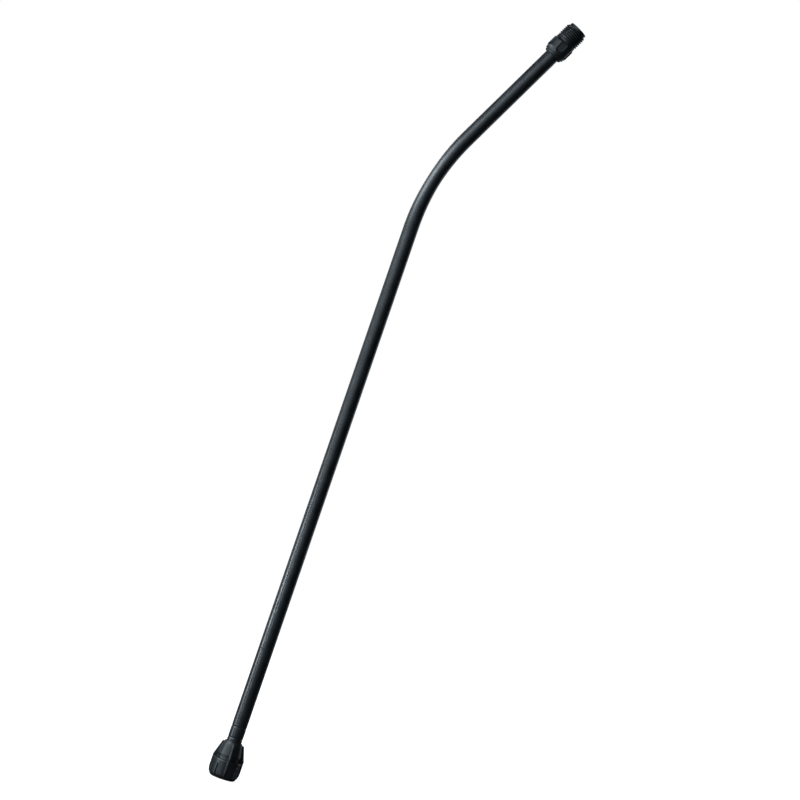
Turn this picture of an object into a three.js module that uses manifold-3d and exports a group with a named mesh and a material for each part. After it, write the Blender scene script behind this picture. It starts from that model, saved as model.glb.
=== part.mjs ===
// Spray wand (lance) of a backpack sprayer: a bent plastic tube with a finned union nut that is
// captive at its tail and a threaded nozzle adapter at its other end.
//
// Millimetres. The origin lies on the tube's axis in the plane of the union nut's mouth, +Z runs
// up the straight part of the tube, and the tube bends towards +X. Angles about an axis are
// counted from -Y towards +X.
import * as THREE from "three";
import { mergeVertices } from "three/addons/utils/BufferGeometryUtils.js";
import Module from "manifold-3d";

const wasm = await Module();
wasm.setup();

// ---- Driving dimensions ----

const GAP = 0.3; // clearance between pieces that touch
const SIDES = 32; // facets round every turned piece
const TURN = 2 * Math.PI;

// Course of the tube's axis: straight, one bend, straight.
const LOWER_STRAIGHT = 490;
const BEND_RADIUS = 194.5;
const BEND_ANGLE = THREE.MathUtils.degToRad(26.65);
const UPPER_STRAIGHT = 131;
const BEND_END = LOWER_STRAIGHT + BEND_RADIUS * BEND_ANGLE;
const WAND_LENGTH = BEND_END + UPPER_STRAIGHT;

const TUBE_R = 6.45;
const TUBE_BORE_R = 4.5;
const TUBE_EDGE = 0.4; // chamfer at both ends of the tube
const BEND_STEPS = 12;
const FLATTENING = 0.06; // share that the bend loses across, in its own plane
const WIDENING = 0.03; // share that it gains at right angles to that plane

// Rings where the tube is crimped into the ferrule, up from the nut's rear end.
const CRIMPS = [3.6, 13.4];
const CRIMP_DEPTH = 0.35;
const CRIMP_HALF = 0.9;

// Union nut, from its mouth (0) to its rear end (NUT_LENGTH).
const NUT_LENGTH = 31.9;
const NUT_BARREL_R = 12;
const NUT_BARREL_TOP = 13;
const NUT_SHOULDER_TOP = 16.2;
const NUT_NECKING_R = 9.4; // the turned-in band between barrel and cone
const NUT_NECKING = [16.7, 19.6];
const NUT_CONE_R = [10.1, 8.2];
const NUT_CONE = [19.9, 29.5];
const NUT_REAR_R = 7.5; // after the chamfer that ends the cone
const NUT_MOUTH_R = [9.4, 10]; // inner and outer edge of the mouth's flat face
const NUT_MOUTH_ROUND = 3.2; // height over which the mouth rounds out to the barrel
const NUT_SEAT_Z = 15; // inner shoulder that pushes on the slip washer
const NUT_BORE_R = 9;
const NUT_THREAD = [1.5, 10];
const NUT_THREAD_R = 8.75; // pitch line of the thread
const NUT_THREAD_HALF = 0.45; // half of the thread's depth
const FIN_COUNT = 4;
const FIN_TURN = THREE.MathUtils.degToRad(7.5);
const FIN_THICKNESS = 1.7;
const FIN_R = 13.6;
const FIN_TOP_Z = 18.2; // where a fin starts to slope in towards the rear
const FIN_END = [9.3, 30.8]; // radius and height of a fin's rear corner
const FIN_ROUND_Z = [1.2, 7]; // a fin's end is rounded between these heights
const FIN_SUNK = 1; // how far a fin's inner edge runs under the necking
const RIB_R = 12.9;
const RIB_Z = [1.6, 13];
const RIB_ROUND = [2, 1.5]; // heights of the rounding at a rib's low and high end

// Tail ferrule: nose, flange and the spigot inside the tube.
const FERRULE_BORE_R = 3.1;
const NOSE_R = 5.8;
const NOSE_Z = 5;
const NOSE_EDGE = 0.6;
const FLANGE_R = 8;
const FLANGE_Z = [10.5, 13.2];
const SPIGOT_R = TUBE_BORE_R - GAP;
const SPIGOT_TOP = 47;
const SPIGOT_LEAD = 1.2;
const NOSE_GROOVE = [6.7, 9.4];
const NOSE_GROOVE_R = 4.1;

const SLIP_THICKNESS = 1.2;

// Nozzle adapter, from its tip (0) back along the tube (negative).
const ADAPTER_LENGTH = 31.7;
const LIP_R = 8.1;
const LIP_LENGTH = 3;
const NOZZLE_THREAD = [-14.4, -LIP_LENGTH];
const NOZZLE_THREAD_R = 9.1;
const NOZZLE_THREAD_HALF = 0.6;
const FRONT_RING_R = 9.35;
const FRONT_RING_LENGTH = 2.2;
const LOBE_R = 10.2;
const LOBE_SLOPE = 1.6;
const LOBE_END = -26.4;
const LOBE_COUNT = 5;
const RECESS_TURN = THREE.MathUtils.degToRad(5.4);
const RECESS_Z = [-27.6, -16.2];
const RECESS_FLOOR_R = 9;
const RECESS_FLOOR_WIDTH = 4.5;
const RECESS_WALL = 1.4; // how far a recess's sloped walls run sideways and up
const SHOULDER_R = 9.4; // plain ring behind the lobes
const SHOULDER_Z = [-29.3, -28.3];
const REAR_RING_R = 8.4;
const REAR_RING_Z = [-30.8, -29.8];
const ADAPTER_REAR_R = 7.6;
const ADAPTER_MOUTH_R = 5;
const ADAPTER_MOUTH_DEPTH = 9;
const ADAPTER_BORE_R = 4.2;
const SOCKET_DEPTH = 15; // where the tube's end stops, back from the tip
const SOCKET_R = TUBE_R + GAP;
const SEAL_GROOVE = [-20.6, -18.4];
const SEAL_GROOVE_R = 8.4;
const GRIP_GROOVE = [-27, -24.4];
const GRIP_GROOVE_R = 8.2;
const GRIP_SPLIT = 2; // width of the gap in the split ring
const EDGE = 0.4; // small chamfers

const THREAD_PITCH = 1.9; // of both threads
const RINGS_PER_PITCH = 4;

// ---- Materials ----

const plastic = (colour, roughness) =>
  new THREE.MeshStandardMaterial({ color: colour, roughness, metalness: 0 });

const MATERIALS = {
  tube: plastic(0x15171a, 0.42),
  moulded: plastic(0x121416, 0.48),
  ferrule: plastic(0x24272a, 0.4),
  slip: plastic(0xd8d6cc, 0.35),
  seal: plastic(0x0b0b0c, 0.7),
  grip: new THREE.MeshStandardMaterial({ color: 0xb9bcc0, roughness: 0.3, metalness: 1 }),
};

// ---- Solids ----

// A closed three.js geometry as a solid that can be joined and cut.
function solidOf(geometry) {
  const bare = geometry.clone();
  bare.deleteAttribute("normal");
  bare.deleteAttribute("uv");
  const merged = mergeVertices(bare);
  return new wasm.Manifold(
    new wasm.Mesh({
      numProp: 3,
      vertProperties: merged.attributes.position.array,
      triVerts: new Uint32Array(merged.index.array),
    }),
  );
}

function geometryOf(solid) {
  const made = solid.getMesh();
  const geometry = new THREE.BufferGeometry();
  geometry.setAttribute("position", new THREE.BufferAttribute(made.vertProperties, 3));
  geometry.setIndex(new THREE.BufferAttribute(made.triVerts, 1));
  geometry.computeVertexNormals();
  return geometry;
}

// A ring-shaped piece turned about Z. The outline's [radius, height] points run up the outside
// and down the inside, and close on the first point.
function turned(outline) {
  const loop = [...outline, outline[0]].map(([radius, z]) => new THREE.Vector2(radius, z));
  return new THREE.LatheGeometry(loop, SIDES).rotateX(Math.PI / 2);
}

// Moves each point of a turned piece away from its axis by relief(radius, angle, z).
function withRelief(geometry, relief) {
  const place = geometry.attributes.position;
  for (let i = 0; i < place.count; i += 1) {
    const [x, y, z] = [place.getX(i), place.getY(i), place.getZ(i)];
    const radius = Math.hypot(x, y);
    const grown = 1 + relief(radius, Math.atan2(y, x), z) / radius;
    place.setXYZ(i, x * grown, y * grown, z);
  }
  return geometry;
}

// Points of a quarter of an ellipse, from one [radius, z] corner to another. It leaves the first
// one along Z where alongZ is true, and along the radius where it isn't.
function quarter(from, to, alongZ, steps = 3) {
  return Array.from({ length: steps + 1 }, (_, i) => {
    const angle = (Math.PI / 2) * (i / steps);
    const [early, late] = [Math.sin(angle), 1 - Math.cos(angle)];
    const [shareR, shareZ] = alongZ ? [late, early] : [early, late];
    return [from[0] + (to[0] - from[0]) * shareR, from[1] + (to[1] - from[1]) * shareZ];
  });
}

// ---- Threads ----

// Heights of the rings that carry a thread, from low to high.
function threadRings([low, high]) {
  const count = Math.round(((high - low) * RINGS_PER_PITCH) / THREAD_PITCH);
  return Array.from({ length: count + 1 }, (_, i) => low + ((high - low) * i) / count);
}

// Height of a right-hand thread over its pitch line: flat crests and roots a quarter of the pitch
// wide, fading out over half a turn at both ends.
function threadRelief([low, high], halfDepth, angle, z) {
  const phase = z / THREAD_PITCH - angle / TURN;
  const fromCrest = Math.abs(phase - Math.round(phase));
  const wave = THREE.MathUtils.clamp(2 - 8 * fromCrest, -1, 1);
  const fade = Math.min(z - low, high - z) / (THREAD_PITCH / 2);
  return halfDepth * wave * THREE.MathUtils.clamp(fade, 0, 1);
}

// ---- The tube's course ----

// Place of a point of the straightened wand on the bent one: x and y across, s along its axis.
function onWand(x, y, s) {
  const angle = THREE.MathUtils.clamp((s - LOWER_STRAIGHT) / BEND_RADIUS, 0, BEND_ANGLE);
  const ahead = Math.min(s, LOWER_STRAIGHT) + Math.max(s - BEND_END, 0) * Math.cos(angle);
  const aside = Math.max(s - BEND_END, 0) * Math.sin(angle);
  const middle = Math.sin((Math.PI * angle) / BEND_ANGLE) ** 2;
  const across = x * (1 - FLATTENING * middle);
  return [
    BEND_RADIUS * (1 - Math.cos(angle)) + aside + across * Math.cos(angle),
    y * (1 + WIDENING * middle),
    ahead + BEND_RADIUS * Math.sin(angle) - across * Math.sin(angle),
  ];
}

function bent(geometry) {
  const place = geometry.attributes.position;
  for (let i = 0; i < place.count; i += 1) {
    place.setXYZ(i, ...onWand(place.getX(i), place.getY(i), place.getZ(i)));
  }
  return geometry;
}

// A shallow ring groove, or a bead where depth is negative, round a wall of the given radius.
const ringMark = (radius, z, depth) => [
  [radius, z - CRIMP_HALF],
  [radius - depth, z - CRIMP_HALF / 3],
  [radius - depth, z + CRIMP_HALF / 3],
  [radius, z + CRIMP_HALF],
];

// ---- Pieces ----

const TAIL_END = FLANGE_Z[1] + GAP;
const NOZZLE_END = WAND_LENGTH - SOCKET_DEPTH - GAP;
const CRIMP_Z = CRIMPS.map((rise) => NUT_LENGTH + rise);

function wandTube() {
  const bend = Array.from(
    { length: BEND_STEPS + 1 },
    (_, i) => LOWER_STRAIGHT + ((BEND_END - LOWER_STRAIGHT) * i) / BEND_STEPS,
  );
  const wall = (radius) => [
    ...CRIMP_Z.flatMap((z) => ringMark(radius, z, CRIMP_DEPTH)),
    ...bend.map((s) => [radius, s]),
  ];
  const outside = [
    [TUBE_R - TUBE_EDGE, TAIL_END],
    [TUBE_R, TAIL_END + TUBE_EDGE],
    ...wall(TUBE_R),
    [TUBE_R, NOZZLE_END - TUBE_EDGE],
    [TUBE_R - TUBE_EDGE, NOZZLE_END],
  ];
  const inside = [[TUBE_BORE_R, TAIL_END], ...wall(TUBE_BORE_R), [TUBE_BORE_R, NOZZLE_END]];
  return bent(turned([...outside, ...inside.reverse()]));
}

function tailFerrule() {
  return turned([
    [NOSE_R - NOSE_EDGE, NOSE_Z],
    [NOSE_R, NOSE_Z + NOSE_EDGE],
    [NOSE_R, NOSE_GROOVE[0]],
    [NOSE_GROOVE_R, NOSE_GROOVE[0]],
    [NOSE_GROOVE_R, NOSE_GROOVE[1]],
    [NOSE_R, NOSE_GROOVE[1]],
    [NOSE_R, FLANGE_Z[0]],
    [FLANGE_R, FLANGE_Z[0]],
    [FLANGE_R, FLANGE_Z[1]],
    [SPIGOT_R, FLANGE_Z[1]],
    ...CRIMP_Z.flatMap((z) => ringMark(SPIGOT_R, z, CRIMP_DEPTH)),
    [SPIGOT_R, SPIGOT_TOP - SPIGOT_LEAD],
    [FERRULE_BORE_R + EDGE, SPIGOT_TOP],
    [FERRULE_BORE_R, SPIGOT_TOP],
    [FERRULE_BORE_R, NOSE_Z],
  ]);
}

// An O-ring that lies between a groove's floor and the wall it seals against.
function oRing(floorR, wallR, z, sectionSides = 8) {
  const section = Math.abs(wallR - floorR) / 2 - GAP;
  const middle = (floorR + wallR) / 2;
  return turned(
    Array.from({ length: sectionSides }, (_, i) => {
      const angle = (TURN * i) / sectionSides;
      return [middle + section * Math.cos(angle), z + section * Math.sin(angle)];
    }),
  );
}

function slipWasher() {
  const low = FLANGE_Z[1] + GAP;
  const high = low + SLIP_THICKNESS;
  return turned([
    [FLANGE_R, low],
    [FLANGE_R, high],
    [TUBE_R + GAP, high],
    [TUBE_R + GAP, low],
  ]);
}

// A flat rib that stands on a turned piece: its outline in radius and height, centred on angle.
function radialRib(outline, angle) {
  const shape = new THREE.Shape(outline.map(([radius, z]) => new THREE.Vector2(radius, z)));
  const slab = new THREE.ExtrudeGeometry(shape, { depth: FIN_THICKNESS, bevelEnabled: false });
  slab.rotateX(Math.PI / 2).translate(0, FIN_THICKNESS / 2, 0);
  return solidOf(slab.rotateZ(angle - Math.PI / 2));
}

function unionNut() {
  const blank = turned([
    ...quarter([NUT_MOUTH_R[1], 0], [NUT_BARREL_R, NUT_MOUTH_ROUND], false),
    ...quarter([NUT_BARREL_R, NUT_BARREL_TOP], [NUT_NECKING_R + EDGE, NUT_SHOULDER_TOP], true),
    [NUT_NECKING_R, NUT_NECKING[0]],
    [NUT_NECKING_R, NUT_NECKING[1]],
    [NUT_CONE_R[0], NUT_CONE[0]],
    [NUT_CONE_R[1], NUT_CONE[1]],
    [NUT_REAR_R, NUT_LENGTH],
    [TUBE_R + GAP, NUT_LENGTH],
    [TUBE_R + GAP, NUT_SEAT_Z],
    [NUT_BORE_R, NUT_SEAT_Z],
    [NUT_BORE_R, NUT_THREAD[1] + EDGE],
    ...threadRings(NUT_THREAD).reverse().map((z) => [NUT_THREAD_R, z]),
    [NUT_MOUTH_R[0], 0],
  ]);
  const threaded = withRelief(blank, (radius, angle, z) =>
    radius < NUT_MOUTH_R[0] ? threadRelief(NUT_THREAD, NUT_THREAD_HALF, angle, z) : 0,
  );
  const root = (NUT_BARREL_R + NUT_THREAD_R) / 2; // inside the barrel's wall
  const fin = [
    ...quarter([root, FIN_ROUND_Z[0]], [FIN_R, FIN_ROUND_Z[1]], false, 5),
    [FIN_R, FIN_TOP_Z],
    FIN_END,
    [(TUBE_R + NUT_CONE_R[1]) / 2, FIN_END[1]],
    [NUT_NECKING_R - FIN_SUNK, NUT_SHOULDER_TOP + EDGE],
    [root, NUT_BARREL_TOP],
  ];
  const rib = [
    ...quarter([root, RIB_Z[0]], [RIB_R, RIB_Z[0] + RIB_ROUND[0]], false),
    ...quarter([RIB_R, RIB_Z[1] - RIB_ROUND[1]], [root, RIB_Z[1]], true),
  ];
  let nut = solidOf(threaded);
  for (let i = 0; i < FIN_COUNT; i += 1) {
    const angle = FIN_TURN + (TURN * i) / FIN_COUNT;
    nut = nut.add(radialRib(fin, angle)).add(radialRib(rib, angle + TURN / FIN_COUNT / 2));
  }
  return geometryOf(nut);
}

// The cutter of one recess between two lobes: a flat floor, sloped walls and a rounded rear end.
function recessCutter(angle) {
  const half = RECESS_FLOOR_WIDTH / 2;
  const [rear, front] = [RECESS_Z[0] + RECESS_WALL, RECESS_Z[1] - RECESS_WALL];
  const outline = new THREE.Shape();
  outline.moveTo(half, front);
  outline.lineTo(-half, front);
  outline.lineTo(-half, rear + half);
  outline.absarc(0, rear + half, half, Math.PI, TURN, false);
  const cutter = new THREE.ExtrudeGeometry(outline, {
    depth: LOBE_R,
    bevelSize: RECESS_WALL,
    bevelThickness: RECESS_WALL,
    bevelSegments: 1,
    curveSegments: 6,
  });
  cutter.rotateX(Math.PI / 2).translate(0, -RECESS_FLOOR_R - RECESS_WALL, 0);
  return solidOf(cutter.rotateZ(angle));
}

function nozzleAdapter() {
  const lobeFront = NOZZLE_THREAD[0] - FRONT_RING_LENGTH;
  const blank = turned([
    [ADAPTER_REAR_R, -ADAPTER_LENGTH],
    [REAR_RING_R, REAR_RING_Z[0]],
    [REAR_RING_R, REAR_RING_Z[1]],
    [SHOULDER_R, SHOULDER_Z[0]],
    ...quarter([SHOULDER_R, SHOULDER_Z[1]], [LOBE_R, LOBE_END], false),
    [LOBE_R, lobeFront - LOBE_SLOPE],
    [FRONT_RING_R, lobeFront],
    [FRONT_RING_R, NOZZLE_THREAD[0] - EDGE],
    ...threadRings(NOZZLE_THREAD).map((z) => [NOZZLE_THREAD_R, z]),
    [LIP_R, -LIP_LENGTH + EDGE],
    [LIP_R, -EDGE],
    [LIP_R - EDGE, 0],
    [ADAPTER_MOUTH_R + EDGE, 0],
    [ADAPTER_MOUTH_R, -EDGE],
    [ADAPTER_MOUTH_R, -ADAPTER_MOUTH_DEPTH],
    [ADAPTER_BORE_R, -ADAPTER_MOUTH_DEPTH],
    [ADAPTER_BORE_R, -SOCKET_DEPTH],
    [SOCKET_R, -SOCKET_DEPTH],
    [SOCKET_R, SEAL_GROOVE[1]],
    [SEAL_GROOVE_R, SEAL_GROOVE[1]],
    [SEAL_GROOVE_R, SEAL_GROOVE[0]],
    [SOCKET_R, SEAL_GROOVE[0]],
    [SOCKET_R, GRIP_GROOVE[1]],
    [GRIP_GROOVE_R, GRIP_GROOVE[1]],
    [GRIP_GROOVE_R, GRIP_GROOVE[0]],
    [SOCKET_R, GRIP_GROOVE[0]],
    [SOCKET_R, -ADAPTER_LENGTH],
  ]);
  const threaded = withRelief(blank, (radius, angle, z) =>
    radius > LIP_R ? threadRelief(NOZZLE_THREAD, NOZZLE_THREAD_HALF, angle, z) : 0,
  );
  let adapter = solidOf(threaded);
  for (let i = 0; i < LOBE_COUNT; i += 1) {
    adapter = adapter.subtract(recessCutter(RECESS_TURN + (TURN * i) / LOBE_COUNT));
  }
  return geometryOf(adapter);
}

function gripRing() {
  const [low, high] = [GRIP_GROOVE[0] + GAP, GRIP_GROOVE[1] - GAP];
  const ring = turned([
    [GRIP_GROOVE_R - GAP, low],
    [GRIP_GROOVE_R - GAP, high],
    [SOCKET_R + EDGE, high],
    [SOCKET_R, low + EDGE],
    [SOCKET_R, low],
  ]);
  const split = new THREE.BoxGeometry(GRIP_GROOVE_R * 2, GRIP_SPLIT, ADAPTER_LENGTH);
  split.translate(GRIP_GROOVE_R, 0, (low + high) / 2);
  return geometryOf(solidOf(ring).subtract(solidOf(split)));
}

// ---- Assembly ----

function piece(name, geometry, material) {
  const mesh = new THREE.Mesh(geometry, material);
  mesh.name = name;
  return mesh;
}

const noseSealZ = (NOSE_GROOVE[0] + NOSE_GROOVE[1]) / 2;
const adapterSealZ = (SEAL_GROOVE[0] + SEAL_GROOVE[1]) / 2;
const noseSealWall = NOSE_GROOVE_R + (NOSE_GROOVE[1] - NOSE_GROOVE[0]);

const tail = new THREE.Group();
tail.add(
  piece("wand_tube", wandTube(), MATERIALS.tube),
  piece("tail_ferrule", tailFerrule(), MATERIALS.ferrule),
  piece("nose_o_ring", oRing(NOSE_GROOVE_R, noseSealWall, noseSealZ), MATERIALS.seal),
  piece("slip_washer", slipWasher(), MATERIALS.slip),
  piece("union_nut", unionNut(), MATERIALS.moulded),
);

const nozzleEnd = new THREE.Group();
nozzleEnd.position.set(...onWand(0, 0, WAND_LENGTH));
nozzleEnd.rotation.y = BEND_ANGLE;
nozzleEnd.add(
  piece("nozzle_adapter", nozzleAdapter(), MATERIALS.moulded),
  piece("adapter_o_ring", oRing(TUBE_R, SEAL_GROOVE_R, adapterSealZ), MATERIALS.seal),
  piece("adapter_grip_ring", gripRing(), MATERIALS.grip),
);

const wand = new THREE.Group();
wand.add(tail, nozzleEnd);

export default wand;
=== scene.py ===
"""Looks of a backpack sprayer's spray wand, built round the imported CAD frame.

The wand stands upright on its union nut: +Z up the tube, the bend towards +X. Shapes are worked out
in millimetres and turned into metres where a mesh is made. Angles round an axis are counted from
-Y towards +X.
"""

import math

import bpy
import numpy as np
from mathutils import Matrix, Vector


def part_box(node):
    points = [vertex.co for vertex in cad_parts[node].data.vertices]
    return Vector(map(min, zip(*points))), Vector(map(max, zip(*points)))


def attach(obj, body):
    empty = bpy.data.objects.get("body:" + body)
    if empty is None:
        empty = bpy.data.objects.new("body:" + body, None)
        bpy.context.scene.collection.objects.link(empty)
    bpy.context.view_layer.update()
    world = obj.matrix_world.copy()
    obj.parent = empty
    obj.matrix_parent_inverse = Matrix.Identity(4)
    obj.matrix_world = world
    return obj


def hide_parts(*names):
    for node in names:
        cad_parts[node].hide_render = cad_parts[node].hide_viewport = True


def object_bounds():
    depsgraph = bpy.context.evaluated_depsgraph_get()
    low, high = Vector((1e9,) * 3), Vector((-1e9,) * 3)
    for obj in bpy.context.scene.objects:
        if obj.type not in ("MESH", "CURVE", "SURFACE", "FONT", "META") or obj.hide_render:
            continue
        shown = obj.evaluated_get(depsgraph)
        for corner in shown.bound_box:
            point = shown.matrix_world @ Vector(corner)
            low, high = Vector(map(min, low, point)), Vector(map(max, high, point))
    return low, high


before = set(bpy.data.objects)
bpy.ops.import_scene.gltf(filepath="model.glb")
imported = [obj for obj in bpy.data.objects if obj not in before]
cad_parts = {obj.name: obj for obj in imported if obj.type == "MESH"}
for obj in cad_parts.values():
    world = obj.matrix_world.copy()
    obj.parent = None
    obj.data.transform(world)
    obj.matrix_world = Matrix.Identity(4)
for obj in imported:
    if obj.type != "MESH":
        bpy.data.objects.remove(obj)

CAD_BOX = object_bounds()
MM = 0.001
TURN = 2 * math.pi

# ---- Driving dimensions, millimetres ----

# The CAD's own, but for TUBE_R: the CAD's tube has 32 sides, corners at 6.45 and flats at 6.42.
LOWER_STRAIGHT = 490.0
BEND_RADIUS = 194.5
BEND_ANGLE = math.radians(26.65)
UPPER_STRAIGHT = 131.0
BEND_END = LOWER_STRAIGHT + BEND_RADIUS * BEND_ANGLE
WAND_LENGTH = BEND_END + UPPER_STRAIGHT
TUBE_R = 6.43
TUBE_BORE_R = 4.5
CLEAR_BORE_R = 6.75  # bores that the tube passes through
THREAD_PITCH = 1.9
FLATTENING = 0.06
WIDENING = 0.03

# Heights along the wand. The first two are read from the CAD's nodes.
NUT_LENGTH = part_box("union_nut")[1].z / MM
TAIL_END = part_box("wand_tube")[0].z / MM
NOZZLE_END = WAND_LENGTH - 15.3
CRIMPS = (NUT_LENGTH + 3.6, NUT_LENGTH + 13.4)
WITNESS = NUT_LENGTH + 83.0

GATE_ANGLE = math.radians(-19)  # where round the tube the gate mark stands


# ---- Outlines ----


def filleted(corners, closed=True, steps=5):
    """Rounds a polyline of (radius, z, fillet) corners; fillet 0 leaves a corner as it is."""
    points = []
    count = len(corners)
    for i, (r, z, fillet) in enumerate(corners):
        here = Vector((r, z))
        inner = closed or 0 < i < count - 1
        if not fillet or not inner:
            points.append((r, z))
            continue
        back = Vector(corners[i - 1][:2]) - here
        ahead = Vector(corners[(i + 1) % count][:2]) - here
        half = back.angle(ahead) / 2
        reach = min(fillet / math.tan(half), 0.49 * back.length, 0.49 * ahead.length)
        radius = reach * math.tan(half)
        start = here + back.normalized() * reach
        end = here + ahead.normalized() * reach
        inward = (back.normalized() + ahead.normalized()).normalized()
        middle = here + inward * (radius / math.sin(half))
        sweep = (start - middle).angle_signed(end - middle)
        for k in range(steps + 1):
            arm = (start - middle).copy()
            arm.rotate(Matrix.Rotation(-sweep * k / steps, 2))
            points.append(tuple(middle + arm))
    return points


def divided(points, step, low=-math.inf, high=math.inf):
    """A closed outline with its long stretches between low and high cut to pieces of about step."""
    out = []
    for i, (r, z) in enumerate(points):
        out.append((r, z))
        r2, z2 = points[(i + 1) % len(points)]
        length = math.hypot(r2 - r, z2 - z)
        if length > step and min(z, z2) >= low and max(z, z2) <= high:
            pieces = math.ceil(length / step)
            for k in range(1, pieces):
                out.append((r + (r2 - r) * k / pieces, z + (z2 - z) * k / pieces))
    return out


# ---- Meshes ----


def straight(x, y, z):
    """A piece that is where its own coordinates say."""
    return x, y, z


def on_wand(x, y, s):
    """Place on the bent wand of a point across its axis (x, y) and along it (s)."""
    angle = np.clip((s - LOWER_STRAIGHT) / BEND_RADIUS, 0, BEND_ANGLE)
    beyond = np.maximum(s - BEND_END, 0)
    middle = np.sin(np.pi * angle / BEND_ANGLE) ** 2
    across = x * (1 - FLATTENING * middle)
    below = np.minimum(s, LOWER_STRAIGHT)
    return (
        BEND_RADIUS * (1 - np.cos(angle)) + beyond * np.sin(angle) + across * np.cos(angle),
        y * (1 + WIDENING * middle),
        below + (BEND_RADIUS - across) * np.sin(angle) + beyond * np.cos(angle),
    )


def at_tip(x, y, z):
    """A piece at the nozzle end, whose own z runs back from the tip (negative)."""
    return on_wand(x, y, z + WAND_LENGTH)


def rails_round(count):
    """Lines along a turned piece, evenly spaced: (angle, offset beside it) pairs."""
    return [(TURN * i / count, 0.0) for i in range(count)]


def rails_with(features, count, free):
    """Rails beside each of count features, at the given offsets, and free ones in the gaps.

    features gives the angle of the first one and the offsets from its middle; free gives the
    share of the gap between two features at which a plain rail stands.
    """
    first, offsets = features
    rails = []
    for i in range(count):
        centre = first + TURN * i / count
        rails += [(centre, t) for t in offsets]
        rails += [(centre + TURN / count * share, 0.0) for share in free]
    return rails


def ring_mesh(name, rails, outline, shape=None, place=straight, closed=True):
    """A mesh of rails x outline. shape(angle, offset, r, z) gives each point's final radius."""
    angle, offset = (np.array(column)[:, None] for column in zip(*rails))
    r, z = (np.array(column)[None, :] for column in zip(*outline))
    radius = np.broadcast_to(r, (len(rails), len(outline))).copy()
    if shape is not None:
        radius = shape(angle, offset, radius, z)
    out = np.sqrt(np.maximum(radius**2 - offset**2, 0))
    x = out * np.sin(angle) + offset * np.cos(angle)
    y = -out * np.cos(angle) + offset * np.sin(angle)
    points = np.stack(place(x, y, np.broadcast_to(z, radius.shape)), axis=-1).reshape(-1, 3) * MM
    m, n = radius.shape
    faces = [
        (i * n + j, (i + 1) % m * n + j, (i + 1) % m * n + (j + 1) % n, i * n + (j + 1) % n)
        for i in range(m if closed else m - 1)
        for j in range(n)
    ]
    if not closed:
        faces += [tuple(range(n)), tuple((m - 1) * n + j for j in reversed(range(n)))]
    mesh = bpy.data.meshes.new(name)
    mesh.from_pydata([tuple(p) for p in points], [], faces)
    mesh.validate()
    mesh.shade_smooth()
    mesh.set_sharp_from_angle(angle=math.radians(38))
    piece = bpy.data.objects.new(name, mesh)
    bpy.context.scene.collection.objects.link(piece)
    return piece


def smooth(value):
    """Smooth step of a value that runs from 0 to 1."""
    value = np.clip(value, 0, 1)
    return value * value * (3 - 2 * value)


def thread(angle, z, low, high, half_depth):
    """Height of a right-hand thread over its pitch line: narrow crests, V roots, faded ends."""
    phase = z / THREAD_PITCH - angle / TURN
    from_crest = np.abs(phase - np.round(phase))
    wave = np.clip(1 - 2 * (from_crest - 0.13) / 0.34, -1, 1)
    fade = smooth(np.minimum(z - low, high - z) / (0.6 * THREAD_PITCH))
    return half_depth * wave * fade


# ---- Materials ----


class Nodes:
    """Adds nodes to a material with a Principled shader and links them."""

    def __init__(self, name):
        self.material = bpy.data.materials.new(name)
        self.material.use_nodes = True
        self.tree = self.material.node_tree
        self.shader = self.tree.nodes["Principled BSDF"]
        self.coordinates = self.add("ShaderNodeTexCoord").outputs["Object"]

    def add(self, kind, **inputs):
        node = self.tree.nodes.new(kind)
        for key, value in inputs.items():
            self.put(node.inputs[key.replace("_", " ")], value)
        return node

    def put(self, socket, value):
        if isinstance(value, bpy.types.NodeSocket):
            self.tree.links.new(value, socket)
        else:
            socket.default_value = value

    def noise(self, size_mm, detail=2.0, roughness=0.5, stretch=(1, 1, 1)):
        """Noise whose features are about size_mm across."""
        scaled = self.add("ShaderNodeMapping", Vector=self.coordinates)
        scaled.inputs["Scale"].default_value = stretch
        node = self.add(
            "ShaderNodeTexNoise", Vector=scaled.outputs[0], Detail=detail, Roughness=roughness
        )
        node.inputs["Scale"].default_value = 1 / (size_mm * MM)
        return node.outputs["Fac"]

    def spread(self, value, low, high, to_low, to_high):
        """value between low and high, carried to between to_low and to_high and clamped there."""
        node = self.add("ShaderNodeMapRange", Value=value)
        ends = {"From Min": low, "From Max": high, "To Min": to_low, "To Max": to_high}
        for key, number in ends.items():
            node.inputs[key].default_value = number
        return node.outputs["Result"]

    def sum(self, a, b, operation="ADD"):
        node = self.add("ShaderNodeMath")
        node.operation = operation
        self.put(node.inputs[0], a)
        self.put(node.inputs[1], b)
        return node.outputs[0]

    def mix(self, factor, a, b):
        node = self.add("ShaderNodeMix")
        node.data_type = "RGBA"
        self.put(node.inputs["Factor"], factor)
        self.put(node.inputs["A"], a)
        self.put(node.inputs["B"], b)
        return node.outputs["Result"]

    def bump(self, height, distance_mm, strength, under=None):
        node = self.add("ShaderNodeBump", Height=height)
        node.inputs["Strength"].default_value = strength
        node.inputs["Distance"].default_value = distance_mm * MM
        if under is not None:
            self.put(node.inputs["Normal"], under)
        return node.outputs["Normal"]


def colour(r, g, b):
    return (r, g, b, 1.0)


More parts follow.
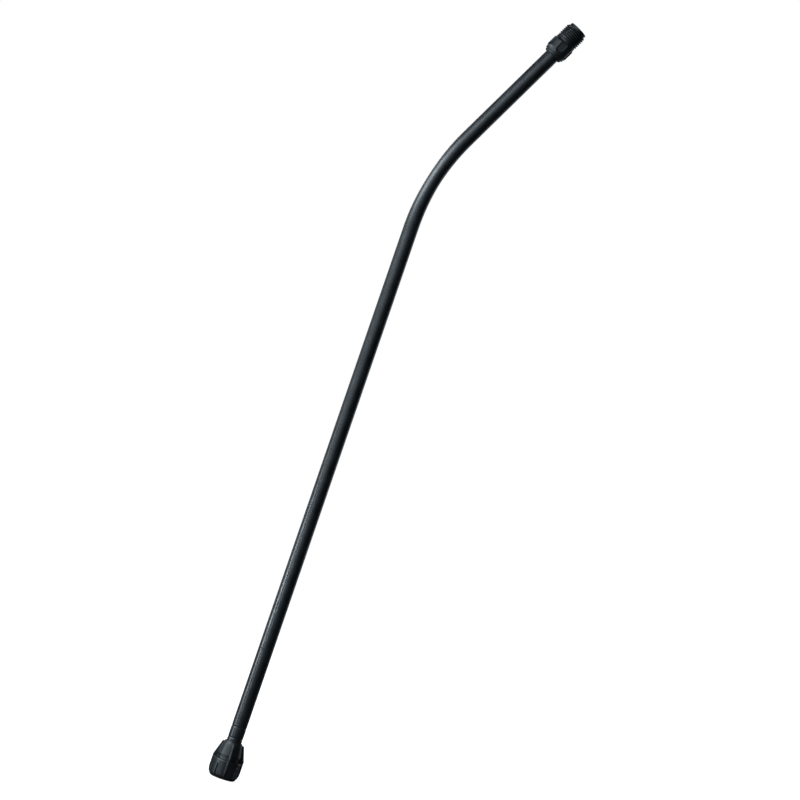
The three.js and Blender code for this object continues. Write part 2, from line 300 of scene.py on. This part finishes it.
def black_plastic(name, base, roughness, grain_mm, wear):
    """Semi-matte black moulded plastic: fine grain, dust specks, flow clouds and rubbed edges."""
    n = Nodes(name)
    clouds = n.noise(9, 3)
    grain = n.noise(grain_mm, 2, 0.6)
    scuffs = n.noise(2.2, 4, 0.65, (1, 1, 0.22))
    specks = n.spread(n.noise(0.4, 1), 0.72, 0.79, 0, 1)
    dark, light = colour(*(c * 0.72 for c in base)), colour(*(c * 1.35 for c in base))
    tone = n.mix(n.spread(clouds, 0.35, 0.65, 0, 1), dark, light)
    tone = n.mix(n.sum(specks, 0.25, "MULTIPLY"), tone, colour(0.05, 0.054, 0.058))
    pointed = n.add("ShaderNodeNewGeometry").outputs["Pointiness"]
    rubbed = n.spread(pointed, 0.52, 0.6, 0, wear)
    tone = n.mix(rubbed, tone, colour(0.045, 0.048, 0.052))
    n.put(n.shader.inputs["Base Color"], tone)
    gloss = n.spread(scuffs, 0.3, 0.7, roughness - 0.05, roughness + 0.07)
    gloss = n.sum(gloss, n.spread(grain, 0.3, 0.7, -0.03, 0.03))
    n.put(n.shader.inputs["Roughness"], gloss)
    n.shader.inputs["IOR"].default_value = 1.5
    fine = n.bump(grain, 0.01, 0.2)
    n.put(n.shader.inputs["Normal"], n.bump(scuffs, 0.02, 0.1, fine))
    return n.material


def waxy_plastic(name):
    n = Nodes(name)
    clouds = n.noise(3, 2)
    tone = n.mix(clouds, colour(0.6, 0.58, 0.5), colour(0.74, 0.72, 0.66))
    n.put(n.shader.inputs["Base Color"], tone)
    n.put(n.shader.inputs["Roughness"], n.spread(n.noise(0.4), 0.3, 0.7, 0.28, 0.42))
    n.shader.inputs["Subsurface Weight"].default_value = 0.15
    n.shader.inputs["Subsurface Scale"].default_value = MM
    n.put(n.shader.inputs["Normal"], n.bump(n.noise(0.3), 0.01, 0.2))
    return n.material


def rubber(name):
    n = Nodes(name)
    grain = n.noise(0.12, 3, 0.7)
    tone = n.mix(n.noise(1.4), colour(0.006, 0.006, 0.007), colour(0.014, 0.014, 0.015))
    n.put(n.shader.inputs["Base Color"], tone)
    n.put(n.shader.inputs["Roughness"], n.spread(grain, 0.3, 0.7, 0.55, 0.75))
    n.put(n.shader.inputs["Normal"], n.bump(grain, 0.02, 0.3))
    return n.material


def spring_steel(name):
    n = Nodes(name)
    brushed = n.noise(0.25, 3, 0.6, (1, 1, 8))
    tone = n.mix(brushed, colour(0.42, 0.43, 0.45), colour(0.6, 0.61, 0.63))
    n.put(n.shader.inputs["Base Color"], tone)
    n.shader.inputs["Metallic"].default_value = 1.0
    n.put(n.shader.inputs["Roughness"], n.spread(brushed, 0.3, 0.7, 0.22, 0.4))
    n.put(n.shader.inputs["Normal"], n.bump(brushed, 0.01, 0.25))
    return n.material


# ---- Camera ----

LENS_MM = 150.0
CAMERA_DISTANCE = 2.81
CAMERA_ROLL = math.radians(19.0)
AIM = Vector((0.0385, 0.0, 0.350))


def make_camera():
    """Level camera in front of the bend's plane, rolled so that the tube leans to the right."""
    data = bpy.data.cameras.new("camera")
    data.lens = LENS_MM
    data.sensor_width = 36.0
    data.clip_start = 0.05
    data.clip_end = 50.0
    camera = bpy.data.objects.new("camera", data)
    bpy.context.scene.collection.objects.link(camera)
    level = Matrix.Rotation(math.radians(90), 4, "X")
    roll = Matrix.Rotation(-CAMERA_ROLL, 4, "Y")
    camera.matrix_world = Matrix.Translation(AIM - Vector((0, CAMERA_DISTANCE, 0))) @ roll @ level
    bpy.context.scene.camera = camera


# ---- Pieces ----


def tube_wall(angle, offset, r, z):
    """Crimp grooves, and the mould's witness line with its gate mark."""
    outside = r > TUBE_R - 0.1
    for crimp in CRIMPS:
        dip = np.exp(-(((z - crimp) / 0.5) ** 2))
        r = r - np.where(outside | (r < TUBE_BORE_R + 0.1), 0.28 * dip, 0)
    line = 0.07 * np.exp(-(((z - WITNESS) / 0.22) ** 2))
    round_to_mark = (np.mod(angle - GATE_ANGLE + math.pi, TURN) - math.pi) * TUBE_R
    mark = 0.32 * np.exp(-((round_to_mark**2 + (z - WITNESS) ** 2) / 0.42**2))
    return r + np.where(outside, mark - line, 0)


def wand_tube():
    marks = [z + 0.1 * k for z in (*CRIMPS, WITNESS) for k in range(-15, 16)]
    bend = np.arange(LOWER_STRAIGHT, BEND_END, 1.5)
    plain = np.arange(TAIL_END + 2, NOZZLE_END - 2, 6)
    wall = sorted({round(float(z), 2) for z in (*marks, *bend, *plain)})
    outline = filleted(
        [
            (TUBE_R, TAIL_END, 0.4),
            *((TUBE_R, z, 0) for z in wall),
            (TUBE_R, NOZZLE_END, 0.4),
            (TUBE_BORE_R, NOZZLE_END, 0.25),
            *((TUBE_BORE_R, z, 0) for z in reversed(wall)),
            (TUBE_BORE_R, TAIL_END, 0.25),
        ]
    )
    return ring_mesh("tube", rails_round(112), outline, tube_wall, on_wand)


NUT_FIN_COUNT = 4
NUT_FIN_TURN = math.radians(7.5)
FIN_HALF = 0.84
FIN_R = 13.57
RIB_R = 12.88
NUT_BORE_R = 9.0
NUT_THREAD = (1.5, 10.0)
NUT_THREAD_R = 8.75
NUT_THREAD_HALF = 0.45
ROOT_R = 10.6


def ridge(offset, base, top, half=FIN_HALF, crown=0.66, foot=0.3, draft=0.06):
    """Radius across a rib with parallel flanks: a nearly full-round crown and a filleted foot."""
    t = np.abs(offset)
    drop = crown - np.sqrt(np.maximum(crown**2 - np.clip(t - half + crown, 0, crown) ** 2, 0))
    away = np.clip(half + draft + foot - t, 0, foot)
    fillet = foot - np.sqrt(np.maximum(foot**2 - away**2, 0))
    on_top = np.maximum(base, top - drop)
    on_foot = np.minimum(base + fillet, np.maximum(base, top - crown))
    return np.where(t <= half, on_top, on_foot)


def nut_outside(angle, offset, r, z):
    fin_path = filleted(
        [
            (ROOT_R, 1.2, 0),
            (12.4, 2.2, 2.5),
            (FIN_R, 6.2, 7.0),
            (FIN_R, 17.9, 2.0),
            (9.45, 30.75, 0),
        ],
        closed=False,
        steps=8,
    )
    rib_path = filleted(
        [(ROOT_R, 1.5, 0), (RIB_R, 2.0, 1.6), (RIB_R, 12.6, 1.6), (ROOT_R, 13.2, 0)],
        closed=False,
        steps=8,
    )
    feature = np.round((angle - NUT_FIN_TURN) / (TURN / NUT_FIN_COUNT / 2))
    is_fin = np.mod(feature, 2) == 0
    tops = [
        np.interp(z, [p[1] for p in path], [p[0] for p in path], left=0, right=0)
        for path in (fin_path, rib_path)
    ]
    top = np.where(is_fin, *tops)
    outside = r > np.interp(z, (0, 15, 15.1, 32), (9.6, 9.6, 7.1, 7.1))
    raised = ridge(offset, r, np.broadcast_to(top, r.shape))
    by_feature = np.abs(offset) > 0
    centred = np.isclose(angle, NUT_FIN_TURN + feature * TURN / NUT_FIN_COUNT / 2)
    threaded = r + np.where(r < NUT_BORE_R, thread(angle, z, *NUT_THREAD, NUT_THREAD_HALF), 0)
    return np.where(outside, np.where(by_feature | centred, raised, r), threaded)


def union_nut():
    outline = filleted(
        [
            (10.1, 0.0, 0.3),
            (11.3, 0.85, 1.2),
            (12.0, 2.9, 2.4),
            (12.0, 16.3, 2.6),
            (9.4, 16.3, 0.35),
            (9.4, 19.6, 0.25),
            (10.1, 19.8, 0.35),
            (8.2, 29.5, 0.6),
            (7.5, NUT_LENGTH, 0.25),
            (CLEAR_BORE_R, NUT_LENGTH, 0.25),
            (CLEAR_BORE_R, 15.0, 0.2),
            (NUT_BORE_R, 15.0, 0.4),
            (NUT_BORE_R, 10.5, 0.2),
            (NUT_THREAD_R, 10.0, 0),
            (NUT_THREAD_R, 1.5, 0),
            (9.4, 0.0, 0.2),
        ]
    )
    outline = divided(outline, 0.14, NUT_THREAD[0] - 0.01, NUT_THREAD[1] + 0.01)
    outline = divided(outline, 0.4)
    on_ridge = (0.0, 0.2, 0.34, 0.46, 0.57, 0.66, 0.73, 0.79, 0.82, 0.84)
    beside_it = (0.91, 0.96, 1.04, 1.14, 1.2, 1.45)
    offsets = on_ridge + beside_it
    offsets = sorted({-t for t in offsets} | set(offsets))
    free = np.linspace(0.24, 0.76, 7)
    rails = rails_with((NUT_FIN_TURN, offsets), 2 * NUT_FIN_COUNT, free)
    return ring_mesh("union_nut_shell", rails, outline, nut_outside)


LOBE_COUNT = 5
RECESS_TURN = math.radians(5.4)
RECESS_Z = (-27.6, -16.2)
RECESS_FLOOR_R = 9.0
RECESS_FLOOR_HALF = 2.25
RECESS_WALL = 1.4
NOZZLE_THREAD = (-14.4, -3.0)
NOZZLE_THREAD_R = 9.08
NOZZLE_THREAD_HALF = 0.6


def adapter_outside(angle, offset, r, z):
    """Thread, and the recesses between the lobes: flat floor, sloped walls, round rear end."""
    rear = RECESS_Z[0] + RECESS_WALL + RECESS_FLOOR_HALF
    front = RECESS_Z[1] - RECESS_WALL
    from_floor = np.hypot(offset, np.maximum(rear - z, 0)) - RECESS_FLOOR_HALF
    from_floor = np.maximum(from_floor, z - front)
    floor = np.sqrt(RECESS_FLOOR_R**2 + offset**2)
    beside = np.abs(offset) > 0
    turns = (angle - RECESS_TURN) * LOBE_COUNT / TURN
    centred = np.isclose(turns, np.round(turns))
    recessed = np.minimum(r, floor + np.maximum(from_floor, 0))
    outside = (r > 8.7) & (z < NOZZLE_THREAD[0] - 0.4) & (z > -28.2)
    screw = thread(angle, z, *NOZZLE_THREAD, NOZZLE_THREAD_HALF)
    on_thread = (z > NOZZLE_THREAD[0]) & (z < NOZZLE_THREAD[1]) & (r > 8.4)
    return np.where(outside & (beside | centred), recessed, r + np.where(on_thread, screw, 0))


def nozzle_adapter():
    outline = filleted(
        [
            (7.55, -31.7, 0.25),
            (8.4, -30.8, 0.4),
            (8.4, -29.8, 0.15),
            (9.4, -29.3, 0.3),
            (9.4, -28.3, 0.15),
            (10.2, -26.4, 1.5),
            (10.2, -18.2, 0.6),
            (9.35, -16.6, 0.5),
            (9.35, -14.75, 0.2),
            (NOZZLE_THREAD_R, NOZZLE_THREAD[0], 0),
            (NOZZLE_THREAD_R, NOZZLE_THREAD[1], 0),
            (8.07, -2.6, 0.2),
            (8.07, -0.03, 0.45),
            (5.0, -0.03, 0.45),
            (5.0, -9.0, 0.2),
            (4.2, -9.0, 0.2),
            (4.2, -15.0, 0.2),
            (CLEAR_BORE_R, -15.0, 0.2),
            (CLEAR_BORE_R, -18.4, 0.1),
            (8.4, -18.4, 0.15),
            (8.4, -20.6, 0.15),
            (CLEAR_BORE_R, -20.6, 0.1),
            (CLEAR_BORE_R, -24.4, 0.1),
            (8.2, -24.4, 0.15),
            (8.2, -27.0, 0.15),
            (CLEAR_BORE_R, -27.0, 0.1),
            (CLEAR_BORE_R, -31.7, 0.3),
        ]
    )
    outline = divided(outline, 0.12, *NOZZLE_THREAD)
    outline = divided(outline, 0.25)
    offsets = (0.0, 0.7, 1.4, 1.9, 2.15, 2.25, 2.35, 2.6, 2.9, 3.2, 3.45, 3.6, 3.75, 3.95, 4.3)
    offsets = sorted({-t for t in offsets} | set(offsets))
    free = np.linspace(0.38, 0.62, 7)
    rails = rails_with((RECESS_TURN, offsets), LOBE_COUNT, free)
    return ring_mesh("nozzle_adapter_shell", rails, outline, adapter_outside, at_tip)


FLANGE_R = 8.0  # of the ferrule's flange and the slip washer on it
NOSE_R = 5.8
NOSE_GROOVE_R = 4.1
SPIGOT_R = 4.2
FERRULE_BORE_R = 3.1
SEAL_SIDES = 32


def tail_ferrule():
    outline = filleted(
        [
            (NOSE_R, 5.0, 0.7),
            (NOSE_R, 6.7, 0.15),
            (NOSE_GROOVE_R, 6.7, 0.2),
            (NOSE_GROOVE_R, 9.4, 0.2),
            (NOSE_R, 9.4, 0.15),
            (NOSE_R, 10.5, 0.2),
            (FLANGE_R, 10.5, 0.35),
            (FLANGE_R, 13.2, 0.35),
            (SPIGOT_R, 13.2, 0.2),
            (SPIGOT_R, 45.8, 0.3),
            (3.5, 47.0, 0.2),
            (FERRULE_BORE_R, 47.0, 0.15),
            (FERRULE_BORE_R, 5.0, 0.4),
        ]
    )

    def crimped(angle, offset, r, z):
        for crimp in CRIMPS:
            dip = 0.35 * np.exp(-(((z - crimp) / 0.6) ** 2))
            r = r - np.where(abs(r - SPIGOT_R) < 0.01, dip, 0)
        return r

    return ring_mesh("ferrule", rails_round(96), divided(outline, 0.4), crimped)


def o_ring(name, inner, outer, z, place=straight):
    """A seal whose section lies between two radii, with the fine line its mould leaves."""
    middle, section = (inner + outer) / 2, (outer - inner) / 2
    outline = []
    for k in range(SEAL_SIDES):
        turn = TURN * k / SEAL_SIDES
        line = 0.03 * (k % (SEAL_SIDES // 2) == 0)
        outline.append((middle + (section + line) * math.cos(turn), z + section * math.sin(turn)))
    return ring_mesh(name, rails_round(96), outline, place=place)


def slip_washer():
    outline = filleted(
        [
            (FLANGE_R, 13.5, 0.2),
            (FLANGE_R, 14.7, 0.2),
            (CLEAR_BORE_R, 14.7, 0.2),
            (CLEAR_BORE_R, 13.5, 0.2),
        ]
    )
    return ring_mesh("slip_washer_ring", rails_round(96), divided(outline, 0.5))


GRIP_R = 7.9
GRIP_HALF_SPLIT = 1.0


def grip_ring():
    """Split ring in the adapter. Its gap faces +X; its inner edge stands for one that bites."""
    outline = filleted(
        [
            (GRIP_R, -26.7, 0.15),
            (GRIP_R, -24.7, 0.15),
            (7.15, -24.7, 0.1),
            (CLEAR_BORE_R, -26.3, 0.05),
            (CLEAR_BORE_R, -26.7, 0),
        ]
    )
    gap = GRIP_HALF_SPLIT / GRIP_R
    rails = [(math.pi / 2 + gap + (TURN - 2 * gap) * i / 90, 0.0) for i in range(91)]
    return ring_mesh("grip_ring", rails, outline, place=at_tip, closed=False)


def dress(piece, body, node, material):
    """Hands a finished piece to the frame in place of its CAD node."""
    piece.data.materials.append(material)
    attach(piece, body)
    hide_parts(node)


def make_pieces():
    tube = black_plastic("tube_plastic", (0.0105, 0.0125, 0.0150), 0.29, 0.16, 0.0)
    moulded = black_plastic("moulded_plastic", (0.0095, 0.0115, 0.0135), 0.33, 0.2, 0.25)
    ferrule = black_plastic("ferrule_plastic", (0.022, 0.024, 0.027), 0.36, 0.14, 0.2)
    seal = rubber("seal_rubber")
    dress(wand_tube(), "wand", "wand_tube", tube)
    dress(tail_ferrule(), "wand", "tail_ferrule", ferrule)
    dress(o_ring("nose_seal", 4.45, 6.45, 8.05), "wand", "nose_o_ring", seal)
    dress(nozzle_adapter(), "wand", "nozzle_adapter", moulded)
    adapter_seal = o_ring("adapter_seal", CLEAR_BORE_R, 8.1, -19.5, at_tip)
    dress(adapter_seal, "wand", "adapter_o_ring", seal)
    dress(grip_ring(), "wand", "adapter_grip_ring", spring_steel("spring_steel"))
    dress(slip_washer(), "slip_washer", "slip_washer", waxy_plastic("slip_plastic"))
    dress(union_nut(), "union_nut", "union_nut", moulded)


# ---- Stage ----


def seen_and_felt(tree, seen, felt):
    """A shader that the camera sees as one thing and the object feels as another."""
    path = tree.nodes.new("ShaderNodeLightPath")
    mix = tree.nodes.new("ShaderNodeMixShader")
    tree.links.new(path.outputs["Is Camera Ray"], mix.inputs[0])
    tree.links.new(felt, mix.inputs[1])
    tree.links.new(seen, mix.inputs[2])
    return mix.outputs[0]


def make_world():
    world = bpy.data.worlds.new("studio")
    bpy.context.scene.world = world
    world.use_nodes = True
    tree = world.node_tree
    white = tree.nodes["Background"]
    white.inputs["Color"].default_value = colour(1, 1, 1)
    dim = tree.nodes.new("ShaderNodeBackground")
    dim.inputs["Color"].default_value = colour(0.9, 0.95, 1)
    dim.inputs["Strength"].default_value = 0.012
    shader = seen_and_felt(tree, white.outputs[0], dim.outputs[0])
    tree.links.new(shader, tree.nodes["World Output"].inputs["Surface"])


FLOOR_RADIUS = 20.0
FLOOR_SIDES = 64
FLOOR_CLEAR = 1.2  # where the floor's painted glow has risen to the white of the background


def make_floor():
    """Pale floor just under the nut: a matte white that takes soft shadows near the wand, under a
    painted glow that rises from 0.9 there to plain white further off.
    """
    mesh = bpy.data.meshes.new("floor")
    turns = [TURN * k / FLOOR_SIDES for k in range(FLOOR_SIDES)]
    rim = [(FLOOR_RADIUS * math.cos(a), FLOOR_RADIUS * math.sin(a), 0) for a in turns]
    mesh.from_pydata(rim, [], [tuple(range(FLOOR_SIDES))])
    floor = bpy.data.objects.new("floor", mesh)
    floor.location.z = CAD_BOX[0][2] - 0.0003
    bpy.context.scene.collection.objects.link(floor)
    n = Nodes("pale_floor")
    tree = n.tree
    far = n.add("ShaderNodeVectorMath", Vector=n.coordinates)
    far.operation = "LENGTH"
    # Painted light: only the camera sees this glow. It is 0.9 strong near the wand and rises to
    # full white at FLOOR_CLEAR.
    painted_glow = n.add("ShaderNodeEmission", Color=colour(1, 1, 1))
    n.put(painted_glow.inputs["Strength"], n.spread(far.outputs["Value"], 0.05, FLOOR_CLEAR, 0.9, 1.0))
    matte = n.add("ShaderNodeBsdfDiffuse", Color=colour(0.75, 0.75, 0.75))
    dull = n.add("ShaderNodeBsdfDiffuse", Color=colour(0.12, 0.12, 0.12))
    both = tree.nodes.new("ShaderNodeAddShader")
    tree.links.new(painted_glow.outputs[0], both.inputs[0])
    tree.links.new(matte.outputs[0], both.inputs[1])
    shader = seen_and_felt(tree, both.outputs[0], dull.outputs[0])
    tree.links.new(shader, tree.nodes["Material Output"].inputs["Surface"])
    mesh.materials.append(n.material)


LIGHT_DISTANCE = 1.4
LIGHT_TINT = (0.87, 1.0, 1.08)
WINDOW_HEIGHT = 0.93
# Azimuth in degrees, counted as the angles round the wand are, and radiance (white is 1).
WINDOW = (
    (-150, 1.6),
    (-115, 2.0),
    (-82, 10),
    (-60, 13),
    (-38, 6.5),
    (-15, 1.6),
    (5, 0.8),
    (40, 0.6),
)
WALL = ((-140, 0.5), (-110, 0.5), (-80, 0.6), (-50, 0.6), (-22, 0.9), (2, 0.35))
LOW_STRIP = ((-75, 42), (-40, 14))
FAR_SIDE = ((120, 0.5), (150, 1.0))


def soft_bank(name, lights, height, size):
    """Soft lights in a row round the wand, at one height and facing it. size is (width, height)."""
    for azimuth, radiance in lights:
        data = bpy.data.lights.new(name, "AREA")
        data.shape = "RECTANGLE"
        data.size, data.size_y = size
        data.energy = radiance * math.pi * data.size * data.size_y
        data.color = LIGHT_TINT
        light = bpy.data.objects.new(name, data)
        light.visible_camera = False
        bpy.context.scene.collection.objects.link(light)
        turn = math.radians(azimuth)
        place = Vector((LIGHT_DISTANCE * math.sin(turn), -LIGHT_DISTANCE * math.cos(turn), height))
        facing = (AIM - place).to_track_quat("-Z", "Y").to_matrix().to_4x4()
        light.matrix_world = Matrix.Translation(place) @ facing


def make_lights():
    """Daylight from the left: a window high up, a wall, a low strip by the nut, a weak far side."""
    soft_bank("window", WINDOW, WINDOW_HEIGHT, (0.5, 0.45))
    soft_bank("wall", WALL, 0.3, (0.7, 0.8))
    soft_bank("low_strip", LOW_STRIP, 0.06, (0.4, 0.1))
    soft_bank("far_side", FAR_SIDE, 0.4, (0.6, 0.9))


make_camera()
make_pieces()
make_world()
make_floor()
make_lights()
bpy.context.scene.view_settings.view_transform = "Standard"
